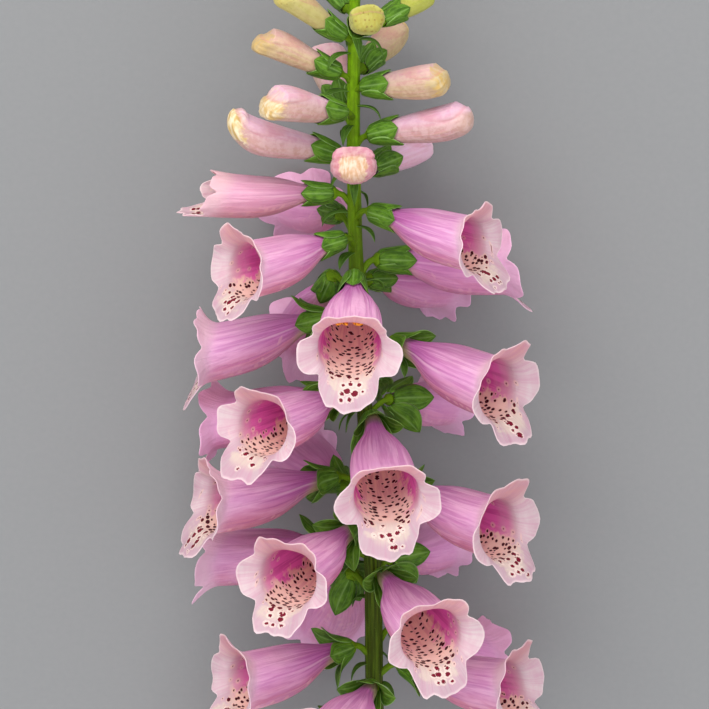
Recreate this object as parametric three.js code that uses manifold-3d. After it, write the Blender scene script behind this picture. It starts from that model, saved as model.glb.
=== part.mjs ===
// Foxglove flower spike, cut and laid on a flat surface. Millimetres, +Z up.
// The stem runs along +Y with its tip at +Y, and the surface is the plane z = 0.
import * as THREE from 'three';
import { mergeVertices } from 'three/addons/utils/BufferGeometryUtils.js';
import Module from 'manifold-3d';

const wasm = await Module();
wasm.setup();

// Driving dimensions
const STEM_HEIGHT = 51; // stem's centre line above the surface
const STEM_FOOT = -240; // cut end
const STEM_TIP = 226;
const STEM_RADIUS_FOOT = 4.3;
const STEM_RADIUS_TIP = 0.9;
const STEM_SIDES = 8;
const TUBE = 48.7; // a full-sized corolla, from its seat to the middle of its mouth
const PETAL = 0.7; // thickness of a petal wall
const SEAT_GAP = 0.3; // between a corolla's base and the receptacle that holds it
const SEAT_REACH = 11; // from the stem's centre line to a receptacle
const NODE_DROP = 6; // how far below its receptacle a flower stalk leaves the stem
const STALK_RADIUS = 1.2;
const RECEPTACLE = [[-2.6, 1.5], [-1.3, 3.1]]; // place along the flower, and radius
const RECEPTACLE_RIM = 2.8;
const SEPALS = 5;
const SEPAL_LENGTH = 14;
const SEPAL_THICK = 0.9;
const BRACT_LENGTH = 15;
const BRACT_WIDTH = 3.6;
const BRACT_THICK = 0.8;
const BRACT_DROP = 3; // below the foot of the flower stalk
const CLOSED_BUDS = 17; // small green buds above the last coloured one
const CLOSED_BUDS_START = 158;
const CLOSED_BUDS_RUN = 65;
const CLOSED_BUD_RADII = [4.4, 1.9]; // of the lowest and of the topmost
const BUD_SIDES = 8;
const YOUNG_FLOWERS = 9; // the topmost open flowers, whose sepals are still nearly closed
const BUD_NECK = 2.7;
const VIEW_TILT = THREE.MathUtils.degToRad(20); // of the view that the flowers' places are given in
const VIEW_DISTANCE = 2500;

// Colours
const PETAL_PINK = 0xd29ac4;
const BUD_CREAM = 0xd9bfa0;
const STEM_GREEN = 0x48700f;

// Helpers on vectors and curves
const vec = (x, y, z) => new THREE.Vector3(x, y, z);
const UP_STEM = vec(0, 1, 0);
const radians = THREE.MathUtils.degToRad;

// A smooth curve of one variable through a few chosen points
function through(...knots) {
  const slopeAt = (i) => {
    const a = knots[Math.max(i - 1, 0)];
    const b = knots[Math.min(i + 1, knots.length - 1)];
    return (b[1] - a[1]) / (b[0] - a[0]);
  };
  return (x) => {
    const last = knots.length - 2;
    let i = 0;
    while (i < last && x > knots[i + 1][0]) i++;
    const [x0, y0] = knots[i];
    const [x1, y1] = knots[i + 1];
    const span = x1 - x0;
    const t = THREE.MathUtils.clamp((x - x0) / span, 0, 1);
    const s = 1 - t;
    return y0 * s * s * (1 + 2 * t) + y1 * t * t * (3 - 2 * t)
      + span * t * s * (slopeAt(i) * s - slopeAt(i + 1) * t);
  };
}

// A repeatable number from -1 to 1 for piece i, a different one for each use
const wobble = (i, use) => Math.sin(i * 12.9898 + use * 78.233);

// A closed body made face by face
class Body {
  constructor() {
    this.points = [];
    this.index = [];
  }

  point(position) {
    return this.points.push(position) - 1;
  }

  face(a, b, c) {
    this.index.push(a, b, c);
  }

  geometry() {
    const geometry = new THREE.BufferGeometry().setFromPoints(this.points);
    geometry.setIndex(this.index);
    return volumeOf(geometry) < 0 ? turnedInsideOut(geometry) : geometry;
  }
}

// Skin stretched over rings of points, closed by a point at each end. From ring mirroredFrom on
// its squares are split the other way, so that both faces of a thin sheet are split alike.
function skin(start, rings, end, mirroredFrom = Infinity) {
  const body = new Body();
  const first = body.point(start);
  const at = rings.map((ring) => ring.map((point) => body.point(point)));
  const final = body.point(end);
  const last = rings.length - 1;
  rings[0].forEach((_, k) => {
    const n = (k + 1) % rings[0].length;
    body.face(first, at[0][n], at[0][k]);
    body.face(final, at[last][k], at[last][n]);
    for (let r = 0; r < last; r++) {
      const [a, b, c, d] = [at[r][k], at[r][n], at[r + 1][k], at[r + 1][n]];
      const split = r < mirroredFrom ? [[a, b, d], [a, d, c]] : [[a, b, c], [b, d, c]];
      split.forEach((corners) => body.face(...corners));
    }
  });
  return body.geometry();
}

function volumeOf(geometry) {
  const position = geometry.getAttribute('position');
  const corner = (i) => new THREE.Vector3().fromBufferAttribute(position, geometry.index.getX(i));
  let sum = 0;
  for (let i = 0; i < geometry.index.count; i += 3) {
    sum += corner(i).dot(corner(i + 1).cross(corner(i + 2))) / 6;
  }
  return sum;
}

function turnedInsideOut(geometry) {
  const index = [...geometry.index.array];
  for (let i = 0; i < index.length; i += 3) [index[i], index[i + 1]] = [index[i + 1], index[i]];
  geometry.setIndex(index);
  return geometry;
}

// Stem
const stemX = through([STEM_FOOT, 8.4], [-134, 7.8], [-91, 7.2], [-32, 4.4], [36, 0.6], [106, -0.5],
  [STEM_TIP, 1.5]);
const stemRadius = through([STEM_FOOT, STEM_RADIUS_FOOT], [-134, 3.6], [36, 2.9], [138, 2.3],
  [STEM_TIP - 4, STEM_RADIUS_TIP], [STEM_TIP, STEM_RADIUS_TIP]);
const stemAt = (y) => vec(stemX(y), y, STEM_HEIGHT);

function ringAround(centre, along, radius, sides, turn = 0) {
  const across = vec(0.31, 0.13, 0.94).cross(along).normalize();
  const over = along.clone().cross(across);
  return Array.from({ length: sides }, (_, k) => {
    const angle = turn + (k / sides) * 2 * Math.PI;
    return centre.clone()
      .addScaledVector(across, radius * Math.cos(angle))
      .addScaledVector(over, radius * Math.sin(angle));
  });
}

function stem() {
  const stations = [STEM_FOOT, -190, -140, -95, -50, -10, 30, 75, 120, 160, 195, STEM_TIP - 4];
  const rings = stations.map((y) => ringAround(stemAt(y), UP_STEM, stemRadius(y), STEM_SIDES));
  return skin(stemAt(STEM_FOOT), rings, stemAt(STEM_TIP));
}

// Where a flower sits: its receptacle and the way its tube points. seat and mouth are as they
// show to a viewer who faces the spike from VIEW_DISTANCE, VIEW_TILT above square to the stem.
// side is 1 for a flower on the viewer's side of the stem, and less or negative beyond it.
function placed({ seat, mouth, side, size = 1, length = TUBE * size, ...rest }, number) {
  const [sin, cos] = [Math.sin(VIEW_TILT), Math.cos(VIEW_TILT)];
  const spot = ([x, up], near) => {
    const shrink = 1 - near / VIEW_DISTANCE;
    return vec(x * shrink, cos * up * shrink + sin * near, cos * near - sin * up * shrink);
  };
  const aside = seat[0] - stemX(seat[1] / cos);
  const lift = side * Math.sqrt(Math.max(SEAT_REACH ** 2 - aside ** 2, 0));
  const origin = spot(seat, (lift + sin * seat[1]) / cos);
  let axis = vec(0, 0, 0);
  const rounds = 4; // until the mouth's distance from the viewer settles
  for (let round = 0; round < rounds; round++) {
    const near = sin * origin.y + cos * origin.z;
    const level = spot(mouth, near + length * (sin * axis.y + cos * axis.z)).sub(origin);
    const towards = sin * level.y + cos * level.z;
    const flat = level.sub(vec(0, sin * towards, cos * towards));
    const left = Math.sqrt(Math.max(length ** 2 - flat.lengthSq(), 0)) * Math.sign(side);
    axis = flat.add(vec(0, sin * left, cos * left)).normalize();
  }
  origin.z += STEM_HEIGHT;
  const back = UP_STEM.clone().addScaledVector(axis, -UP_STEM.dot(axis)).normalize();
  const across = axis.clone().cross(back);
  return { origin, axis, back, across, size, length, number, open: 1, girth: 1, flat: 1, ...rest };
}

// A point from its place along the tube, to the side and towards the back of the flower
const inFlower = (flower, along, aside, back) => flower.origin.clone()
  .addScaledVector(flower.axis, along)
  .addScaledVector(flower.across, aside)
  .addScaledVector(flower.back, back);

// Corolla: half widths of the tube by how far along it one is
const tubeWidth = through([0, 1.8], [0.06, 2.7], [0.15, 3.6], [0.25, 5.4], [0.33, 7.6], [0.42, 9.6],
  [0.52, 11.2], [0.65, 12.2], [0.8, 12.8], [1.1, 13.8]);
const tubeBack = through([0, 1.8], [0.06, 2.7], [0.15, 3.6], [0.25, 4.8], [0.36, 6.2], [0.5, 7.5],
  [0.7, 8.6], [0.88, 9.6], [1.1, 10.6]);
const tubeBelly = through([0, 1.8], [0.06, 2.7], [0.15, 3.5], [0.25, 4.8], [0.36, 7.2], [0.52, 10.3],
  [0.7, 12], [0.88, 11.9], [1.1, 11.2]);

// Lobes by the angle round the mouth in degrees: 0 is the lower lip, 180 the notch above
const lobeLength = through([0, 15.4], [18, 14.8], [38, 10.6], [53, 4.8], [69, 8.6], [86, 9.8],
  [103, 8.6], [118, 4], [132, 8], [148, 11.4], [163, 12.8], [173, 12.6], [180, 11.8]);
const lobeFlare = through([0, 46], [54, 60], [86, 80], [118, 74], [150, 82], [180, 86]);
const flareRun = through([0, 6], [90, 3.2], [180, 5]);
const BELLY_SQUARE = 0.94; // 1 is an ellipse, and less is squarer
const BACK_SQUARE = 0.84;
const tubeEnd = (turn) => 0.965 + 0.103 * Math.cos(turn);

// A point of the petal sheet. reach 0 to 1 is the tube and 1 to 2 the lobes.
function petalPoint(flower, turn, reach) {
  const scale = flower.size;
  const degrees = Math.abs(THREE.MathUtils.radToDeg(Math.atan2(Math.sin(turn), Math.cos(turn))));
  const along = Math.min(reach, 1) * tubeEnd(turn);
  const width = flower.girth * tubeWidth(along);
  const height = flower.girth * (Math.cos(turn) > 0 ? tubeBelly(along) : tubeBack(along));
  const square = Math.cos(turn) > 0 ? BELLY_SQUARE : BACK_SQUARE;
  const across = Math.sign(Math.sin(turn)) * Math.abs(Math.sin(turn)) ** square;
  const down = Math.sign(Math.cos(turn)) * Math.abs(Math.cos(turn)) ** square;
  const out = new THREE.Vector2(across / width, down / height).normalize();
  const lobe = Math.max(reach - 1, 0) * lobeLength(degrees);
  const first = 4 - 8 * Math.cos(turn);
  const spread = (lobeFlare(degrees) - first) * flower.open;
  let forward = 0;
  let outward = 0;
  const steps = 8;
  for (let k = 0; k < steps; k++) {
    const gone = (lobe * (k + 0.5)) / steps;
    const lean = radians(first + spread * (1 - Math.exp(-gone / flareRun(degrees))));
    forward += (lobe / steps) * Math.cos(lean);
    outward += (lobe / steps) * Math.sin(lean);
  }
  return pressed(flower, inFlower(flower,
    scale * (along * TUBE + forward),
    scale * (width * across + outward * out.x),
    -scale * (height * down + outward * out.y)));
}

// What would pass below the surface bends outwards and lies on it
function pressed(flower, point) {
  const sunk = PETAL / 2 - point.z;
  if (sunk <= 0) return point;
  const middle = inFlower(flower, flower.length, 0, 0);
  const away = vec(point.x - middle.x, point.y - middle.y, 0).normalize();
  return point.setZ(PETAL / 2).addScaledVector(away, 0.6 * sunk);
}

function petalNormal(flower, turn, reach) {
  const step = 0.02;
  const along = petalPoint(flower, turn, reach + step).sub(petalPoint(flower, turn, reach - step));
  const round = petalPoint(flower, turn + step, reach).sub(petalPoint(flower, turn - step, reach));
  return along.cross(round).normalize();
}

const MOUTH_TURNS = [0, 26, 54, 76, 98, 118, 139, 161, 180, 199, 221, 242, 262, 284, 306, 334];
const OUTER_RINGS = [0.01, 0.2, 0.38, 0.62, 0.98, 1.5, 2];
const INNER_RINGS = [2, 1.5, 0.98, 0.62];
const THROAT_END = 0.36;

function corolla(flower) {
  const ring = (reach, face) => MOUTH_TURNS.map((degrees) => {
    const turn = radians(degrees);
    const point = petalPoint(flower, turn, reach);
    return point.addScaledVector(petalNormal(flower, turn, reach), (face * PETAL) / 2);
  });
  const outer = OUTER_RINGS.map((reach) => ring(reach, 1));
  const inner = INNER_RINGS.map((reach) => ring(reach, -1));
  const throat = inFlower(flower, THROAT_END * flower.size * TUBE, 0, 0);
  return skin(flower.origin.clone(), [...outer, ...inner], throat, outer.length);
}

// Bud: a closed corolla with its lips folded over the mouth
const budSwell = through([0, 0], [0.25, 0.45], [0.5, 0.86], [0.7, 1], [0.88, 0.9], [0.96, 0.6],
  [1, 0.2]);
const BUD_BEND = 2.4; // mm to its back at the tip of a bud, for each unit of its bend

const bendOf = (flower, reach) => flower.bend * BUD_BEND * Math.max(reach - 0.3, 0) ** 2;

function bud(flower) {
  const neck = BUD_NECK * Math.min(flower.size, 1);
  const rings = [0.005, 0.25, 0.45, 0.65, 0.82, 0.95].map((reach) => {
    const radius = reach < 0.1 ? 0.6 * neck : neck + budSwell(reach) * (flower.girth - neck);
    return Array.from({ length: BUD_SIDES }, (_, k) => {
      const turn = (k / BUD_SIDES) * 2 * Math.PI;
      const belly = (Math.cos(turn) > 0 ? 1 : 0.86) * flower.flat;
      return inFlower(flower, reach * flower.length, radius * 1.06 * Math.sin(turn),
        bendOf(flower, reach) - radius * belly * Math.cos(turn));
    });
  });
  const tip = inFlower(flower, flower.length, 0, bendOf(flower, 1));
  return skin(flower.origin.clone(), rings, tip);
}

// A flower stalk, its receptacle and the sepals on the receptacle's rim, as one body.
// Each sepal is a pointed blade with a raised midrib, curved round the flower's base.
function stalkAndCalyx(flower) {
  const scale = Math.min(flower.size, 1);
  const sepalTurn = (k) => Math.PI + (k / SEPALS) * 2 * Math.PI;
  const onFlower = (turn, along, out) => inFlower(flower, along * scale,
    out * scale * Math.sin(turn), -out * scale * Math.cos(turn));
  const ringOnFlower = (along, out) => Array.from({ length: SEPALS }, (_, k) =>
    onFlower(sepalTurn(k - 0.5), along, out));

  const foot = stemAt(flower.origin.y - NODE_DROP);
  const seat = inFlower(flower, -SEAT_GAP, 0, 0);
  const path = new THREE.CubicBezierCurve3(foot, foot.clone().lerp(seat, 0.5).add(vec(0, 0.5, 0)),
    inFlower(flower, -6, 0, 0), seat);
  const middle = path.getPoint(0.4);
  const turned = new THREE.Quaternion().setFromUnitVectors(flower.axis, path.getTangent(0.4));
  const stalkRing = ringOnFlower(0, STALK_RADIUS / scale).map((point) =>
    point.sub(flower.origin).applyQuaternion(turned).add(middle));

  const body = new Body();
  const footPoint = body.point(foot);
  const seatPoint = body.point(seat);
  const rings = [stalkRing, ...RECEPTACLE.map((place) => ringOnFlower(...place))].map((ring) =>
    ring.map((point) => body.point(point)));
  const rim = ringOnFlower(-SEAT_GAP / scale, RECEPTACLE_RIM).map((point) => body.point(point));
  const edge = rings[rings.length - 1];
  for (let k = 0; k < SEPALS; k++) {
    const n = (k + 1) % SEPALS;
    body.face(footPoint, rings[0][n], rings[0][k]);
    for (let r = 0; r + 1 < rings.length; r++) {
      body.face(rings[r][k], rings[r][n], rings[r + 1][n]);
      body.face(rings[r][k], rings[r + 1][n], rings[r + 1][k]);
    }
    body.face(seatPoint, rim[k], rim[n]);

    const spread = flower.spread * (1 + 0.25 * wobble(flower.number, k));
    const wide = { along: 6.2, out: 6.5 + 0.9 * spread, half: radians(34) };
    const left = body.point(onFlower(sepalTurn(k) - wide.half, wide.along, wide.out));
    const right = body.point(onFlower(sepalTurn(k) + wide.half, wide.along, wide.out));
    const rib = body.point(onFlower(sepalTurn(k), wide.along, wide.out + SEPAL_THICK));
    const tip = body.point(onFlower(sepalTurn(k), SEPAL_LENGTH - 2.5 * spread, 5 + 6.5 * spread));
    const outside = [[edge[k], edge[n], rib], [edge[k], rib, left], [edge[n], right, rib],
      [left, rib, tip], [rib, right, tip]];
    const inside = [[rim[k], left, right], [rim[k], right, rim[n]], [left, tip, right]];
    const sides = [[edge[k], left, rim[k]], [edge[n], rim[n], right]];
    [...outside, ...inside, ...sides].forEach((corners) => body.face(...corners));
  }
  return body.geometry();
}

// Bract: a narrow leaf under each flower stalk, curving out and then down the stem
function bract(flower) {
  const foot = stemAt(flower.origin.y - NODE_DROP - BRACT_DROP);
  const away = vec(flower.origin.x - foot.x, 0, flower.origin.z - foot.z).normalize();
  const across = away.clone().cross(UP_STEM);
  const length = BRACT_LENGTH * (0.85 + 0.2 * wobble(flower.number, 7));
  const droop = 0.5 + 0.3 * wobble(flower.number, 8);
  const path = new THREE.QuadraticBezierCurve3(foot,
    foot.clone().addScaledVector(away, 0.75 * length).add(vec(0, 0.2 * length, 0)),
    foot.clone().addScaledVector(away, 0.85 * length).add(vec(0, -droop * length, 0)));
  const rings = [[0.12, 0.6], [0.62, 1]].map(([t, wide]) => {
    const centre = path.getPoint(t);
    const face = across.clone().cross(path.getTangent(t)).normalize();
    const half = (wide * BRACT_WIDTH) / 2;
    return [
      centre.clone().addScaledVector(across, -half),
      centre.clone().addScaledVector(face, BRACT_THICK / 2),
      centre.clone().addScaledVector(across, half),
      centre.clone().addScaledVector(face, -BRACT_THICK / 2),
    ];
  });
  return skin(path.getPoint(0), rings, path.getPoint(1));
}

// Small green buds in a spiral that tightens towards the tip
function closedBuds() {
  const goldenTurn = radians(137.5);
  return Array.from({ length: CLOSED_BUDS }, (_, k) => {
    const rise = k / (CLOSED_BUDS - 1);
    const y = CLOSED_BUDS_START + CLOSED_BUDS_RUN * rise ** 0.85;
    const turn = k * goldenTurn + 0.6;
    const away = vec(Math.sin(turn), 0, Math.cos(turn));
    const axis = away.multiplyScalar(1 - 0.35 * rise).add(vec(0, 0.55 + 0.7 * rise, 0)).normalize();
    const radius = THREE.MathUtils.lerp(...CLOSED_BUD_RADII, rise);
    const start = stemAt(y).addScaledVector(axis, 0.5);
    const along = (distance) => start.clone().addScaledVector(axis, distance);
    const rings = [[1.2, 0.4], [2.1, 1], [3.3, 0.8]].map(([reach, wide]) =>
      ringAround(along(reach * radius), axis, wide * radius, 6, k));
    return skin(start, rings, along(4.4 * radius));
  });
}

// Joining and naming
function solidOf(geometry) {
  const bare = geometry.clone();
  bare.deleteAttribute('normal');
  bare.deleteAttribute('uv');
  const merged = mergeVertices(bare, 1e-4);
  return new wasm.Manifold(new wasm.Mesh({
    numProp: 3,
    vertProperties: Float32Array.from(merged.getAttribute('position').array),
    triVerts: Uint32Array.from(merged.index.array),
  }));
}

function geometryOf(solid) {
  const mesh = solid.getMesh();
  const geometry = new THREE.BufferGeometry();
  geometry.setAttribute('position', new THREE.Float32BufferAttribute(mesh.vertProperties, 3));
  geometry.setIndex([...mesh.triVerts]);
  return geometry;
}

function joined(geometries) {
  return geometryOf(geometries.map(solidOf).reduce((whole, piece) => whole.add(piece)));
}

function named(name, geometry, colour, roughness) {
  geometry.computeVertexNormals();
  const material = new THREE.MeshStandardMaterial({ color: colour, roughness, metalness: 0 });
  const mesh = new THREE.Mesh(geometry, material);
  mesh.name = name;
  return mesh;
}

// Open flowers, from the top down. size and open are 1 for a full-grown flower.
const OPEN_FLOWERS = [
  { seat: [-9, 64.5], mouth: [-57, 64], side: 0.2, size: 0.9, open: 0, girth: 0.83 },
  { seat: [-6, 56], mouth: [-21, 60], side: -1, size: 0.84 },
  { seat: [-5, 46], mouth: [-44, 34], side: 1, size: 0.92, girth: 1.04 },
  { seat: [7, 57], mouth: [47.5, 44.5], side: 1, size: 0.92 },
  { seat: [10, 38], mouth: [56, 36], side: -0.8 },
  { seat: [6, 30], mouth: [31, 29], side: -1, size: 0.86 },
  { seat: [-11, 15], mouth: [-58, 1], side: -0.2, size: 1.02, open: 1.05, girth: 0.95, spread: 1.1 },
  { seat: [-9, 31], mouth: [-19, 10], side: -1, size: 0.92 },
  { seat: [0, 31], mouth: [-2, 2], side: 1, girth: 0.96 },
  { seat: [16, 5], mouth: [57.5, -13.5], side: 1, size: 1.04 },
  { seat: [14, -18], mouth: [33, -19], side: -1, size: 0.8 },
  { seat: [-5, -16], mouth: [-37, -29], side: 1, size: 0.97 },
  { seat: [-8, -15], mouth: [-53, -26], side: -1, size: 1.02, girth: 0.92, spread: 0.7 },
  { seat: [-8, -49], mouth: [-56, -59], side: 0.4, size: 1.03 },
  { seat: [-4, -52], mouth: [-23, -38], side: -1, size: 0.86 },
  { seat: [7, -25], mouth: [13, -57], side: 1 },
  { seat: [17, -53], mouth: [58, -69.5], side: 1, size: 1.03, open: 1.1 },
  { seat: [14, -82], mouth: [32, -77], side: -1, size: 0.8 },
  { seat: [-1, -70], mouth: [-27, -89.5], side: 1 },
  { seat: [-9, -76], mouth: [-51.5, -80.5], side: -0.4, open: 0.8 },
  { seat: [-1, -88], mouth: [-10, -104], side: -1 },
  { seat: [-2, -117], mouth: [-46, -131], side: 0.6 },
  { seat: [11, -88], mouth: [31, -113], side: 1 },
  { seat: [16, -110], mouth: [50, -121], side: -1, size: 0.96 },
  { seat: [19, -124], mouth: [63, -133.5], side: 0.4 },
  { seat: [7, -133], mouth: [-10, -156], side: 1 },
  { seat: [-2, -146], mouth: [-42, -156], side: -0.6 },
];

// Coloured buds, from the top down. mouth is the tip here, and girth the widest radius.
const BUDS = [
  { seat: [-3, 139], mouth: [-15, 156], side: -1, length: 27, girth: 4.8, bend: 0 },
  { seat: [11, 134], mouth: [30, 145], side: -0.5, length: 28, girth: 5, bend: 0 },
  { seat: [2, 132], mouth: [6, 135], side: 1, length: 28, girth: 6.4, bend: 0, flat: 0.94, spread: 0.4 },
  { seat: [-5, 128], mouth: [-30, 145], side: 0.3, length: 32, girth: 5.4, bend: -1 },
  { seat: [3, 115], mouth: [18, 132], side: -1, length: 34, girth: 6, bend: 1 },
  { seat: [-7, 113], mouth: [-39.5, 127], side: 0.2, length: 36, girth: 6, bend: -1 },
  { seat: [4, 107], mouth: [37.5, 111], side: 0.2, length: 35, girth: 6.9, bend: 0.5 },
  { seat: [-5, 99], mouth: [-12, 123], side: -1, length: 42, girth: 7.4, bend: 0 },
  { seat: [-5, 97], mouth: [-36, 101], side: 1, length: 37, girth: 7.2, bend: -1 },
  { seat: [-7, 80], mouth: [-51, 94], side: 0.2, length: 47, girth: 7.2, bend: 3 },
  { seat: [7, 88], mouth: [47, 96], side: 0.2, length: 42, girth: 7.2, bend: 1 },
  { seat: [0, 74], mouth: [-0.5, 77], side: 1, length: 42, girth: 8.6, bend: 0, flat: 0.88 },
  { seat: [7, 75], mouth: [28, 85], side: -1, length: 40, girth: 6.8, bend: 0 },
];

// spread opens the sepals: 0 is closed round the base
const flowers = OPEN_FLOWERS.map((row, i) => {
  const spread = i < YOUNG_FLOWERS ? 0.35 : 1.1;
  return { spread, ...placed(row, i) };
});
const buds = BUDS.map((row, i) => {
  const spread = 0.05 * (row.girth - 4);
  return { spread, ...placed({ size: 0.8 + 0.015 * i, ...row }, OPEN_FLOWERS.length + i) };
});
const all = [...flowers, ...buds];
const greens = [stem(), ...closedBuds(), ...all.map(stalkAndCalyx), ...all.map(bract)];

const twoDigits = (i) => String(i + 1).padStart(2, '0');
const group = new THREE.Group();
group.add(named('leafy_stem', joined(greens), STEM_GREEN, 0.6));
flowers.forEach((flower, i) => {
  group.add(named(`corolla_${twoDigits(i)}`, corolla(flower), PETAL_PINK, 0.55));
});
buds.forEach((one, i) => {
  group.add(named(`bud_${twoDigits(i)}`, bud(one), BUD_CREAM, 0.55));
});

// The origin is the middle of the spike's box, on the surface
const middle = new THREE.Box3().setFromObject(group).getCenter(new THREE.Vector3());
group.children.forEach((mesh) => mesh.geometry.translate(-middle.x, -middle.y, 0));

export default group;
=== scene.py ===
import math
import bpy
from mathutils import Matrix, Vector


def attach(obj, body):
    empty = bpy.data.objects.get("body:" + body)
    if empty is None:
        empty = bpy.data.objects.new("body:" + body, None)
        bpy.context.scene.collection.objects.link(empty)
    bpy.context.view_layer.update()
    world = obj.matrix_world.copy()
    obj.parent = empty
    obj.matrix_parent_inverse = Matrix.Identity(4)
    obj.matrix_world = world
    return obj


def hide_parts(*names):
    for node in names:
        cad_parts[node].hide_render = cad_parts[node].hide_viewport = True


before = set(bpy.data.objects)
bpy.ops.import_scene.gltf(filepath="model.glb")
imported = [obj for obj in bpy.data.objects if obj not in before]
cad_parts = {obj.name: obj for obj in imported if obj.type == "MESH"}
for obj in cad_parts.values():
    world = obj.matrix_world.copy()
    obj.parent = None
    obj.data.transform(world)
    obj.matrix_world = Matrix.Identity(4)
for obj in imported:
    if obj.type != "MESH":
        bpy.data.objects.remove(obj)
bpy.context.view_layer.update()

from types import SimpleNamespace

import bmesh
import bpy
import numpy as np

# Stem
# A foxglove's flower stem is one solid green rod, lightly ridged, that grows thinner and paler towards its
# tip. It is cut square at the foot, where the pale pith shows. Sizes are in mm, in the stem's own frame:
# its centre line runs along Y at STEM_HEIGHT, and CENTRE is the middle of the whole spike in that frame.
# WELD and BUMP_DEPTH are in metres.
STEM_HEIGHT = 51
STEM_FOOT = -240
STEM_TIP = 226
CENTRE = np.array([4.461, -4.570, 0.0])
MM = 0.001
WELD = 2e-6
PITH_DEPTH = 0.25
BUMP_DEPTH = 0.0003


def through(*knots):
    """A smooth curve of one variable through a few chosen points."""
    x, y = np.array(knots, float).T
    ends = np.arange(len(x))
    before, after = np.maximum(ends - 1, 0), np.minimum(ends + 1, len(x) - 1)
    slope = (y[after] - y[before]) / (x[after] - x[before])

    def curve(at):
        i = np.clip(np.searchsorted(x, at, side="right") - 1, 0, len(x) - 2)
        span = x[i + 1] - x[i]
        t = np.clip((at - x[i]) / span, 0, 1)
        s = 1 - t
        bend = span * t * s * (slope[i] * s - slope[i + 1] * t)
        return y[i] * s * s * (1 + 2 * t) + y[i + 1] * t * t * (3 - 2 * t) + bend

    return curve


def full_turn(count):
    """Turns from the back of a ring past its front to the back again."""
    return np.linspace(-math.pi, math.pi, count)


def paired(first, second):
    """Pairs of numbers for the points of a grid, as its maps hold them."""
    return np.stack(np.broadcast_arrays(first, second), axis=-1)


class Sheets:
    """Grids of points in mm that are gathered into one mesh. Points that meet are welded.

    Each of its maps has two numbers for each point, which the materials read as a UV map.
    """

    MAPS = ("place", "turn", "flower", "fold")

    def __init__(self):
        self.points, self.faces, self.slots = [], [], []
        self.maps = {name: [] for name in self.MAPS}
        self.total = 0

    def add(self, grid, slot=0, **maps):
        rows, columns = grid.shape[:2]
        index = np.arange(rows * columns).reshape(rows, columns) + self.total
        corners = [index[:-1, :-1], index[:-1, 1:], index[1:, 1:], index[1:, :-1]]
        self.faces.append(np.stack(corners, axis=-1).reshape(-1, 4))
        self.slots.append(np.full((rows - 1) * (columns - 1), slot))
        self.points.append(grid.reshape(-1, 3))
        for name in self.MAPS:
            pair = np.zeros((rows, columns, 2))
            pair[:] = maps.get(name, 0)
            self.maps[name].append(pair.reshape(-1, 2))
        self.total += rows * columns

    def piece(self, name, node, materials):
        """Makes the object, which stands for a CAD node and hides that node's part."""
        mesh = bpy.data.meshes.new(name)
        points = (np.concatenate(self.points) - CENTRE) * MM
        faces = np.concatenate(self.faces)
        mesh.from_pydata(points.tolist(), [], faces.tolist())
        for map_name in self.MAPS:
            pairs = np.concatenate(self.maps[map_name])[faces.ravel()]
            mesh.uv_layers.new(name=map_name).data.foreach_set("uv", pairs.ravel())
        mesh.polygons.foreach_set("material_index", np.concatenate(self.slots))
        for material in materials:
            mesh.materials.append(material)
        welded = bmesh.new()
        welded.from_mesh(mesh)
        bmesh.ops.remove_doubles(welded, verts=welded.verts, dist=WELD)
        bmesh.ops.recalc_face_normals(welded, faces=welded.faces)
        welded.to_mesh(mesh)
        welded.free()
        mesh.shade_smooth()
        made = put(name, mesh)
        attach(made, "root")
        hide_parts(node)


def put(name, data):
    """A new object in the scene."""
    made = bpy.data.objects.new(name, data)
    bpy.context.collection.objects.link(made)
    return made


def rings_along(path, radii, across, over):
    """A grid of rings round a path: radii has a row of radii for each point of the path."""
    turn = full_turn(radii.shape[1])
    around = np.cos(turn)[:, None] * across[..., None, :] + np.sin(turn)[:, None] * over[..., None, :]
    return path[:, None, :] + radii[..., None] * around


stem_x = through([STEM_FOOT, 8.4], [-134, 7.8], [-91, 7.2], [-32, 4.4], [36, 0.6], [106, -0.5],
                 [STEM_TIP, 1.5])
stem_radius = through([STEM_FOOT, 4.3], [-134, 3.6], [36, 2.9], [138, 2.3], [STEM_TIP - 4, 0.9],
                      [STEM_TIP, 0.9])


def stem_at(y):
    y = np.asarray(y, float)
    return np.stack([stem_x(y), y, np.full_like(y, STEM_HEIGHT)], axis=-1)


def colour(red, green, blue):
    """A screen colour from 0 to 255 as the shader's own numbers."""
    shares = [c / 255 for c in (red, green, blue)]
    return (*(c / 12.92 if c <= 0.04 else ((c + 0.055) / 1.055) ** 2.4 for c in shares), 1.0)


class Value:
    """A node's output. A sign between it and a number or another one adds a Math node."""

    def __init__(self, wiring, socket):
        self.wiring, self.socket = wiring, socket

    def __add__(self, other):
        return self.wiring.math("ADD", self, other)

    def __sub__(self, other):
        return self.wiring.math("SUBTRACT", self, other)

    def __mul__(self, other):
        return self.wiring.math("MULTIPLY", self, other)

    def __truediv__(self, other):
        return self.wiring.math("DIVIDE", self, other)

    def __abs__(self):
        return self.wiring.math("ABSOLUTE", self)


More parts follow.
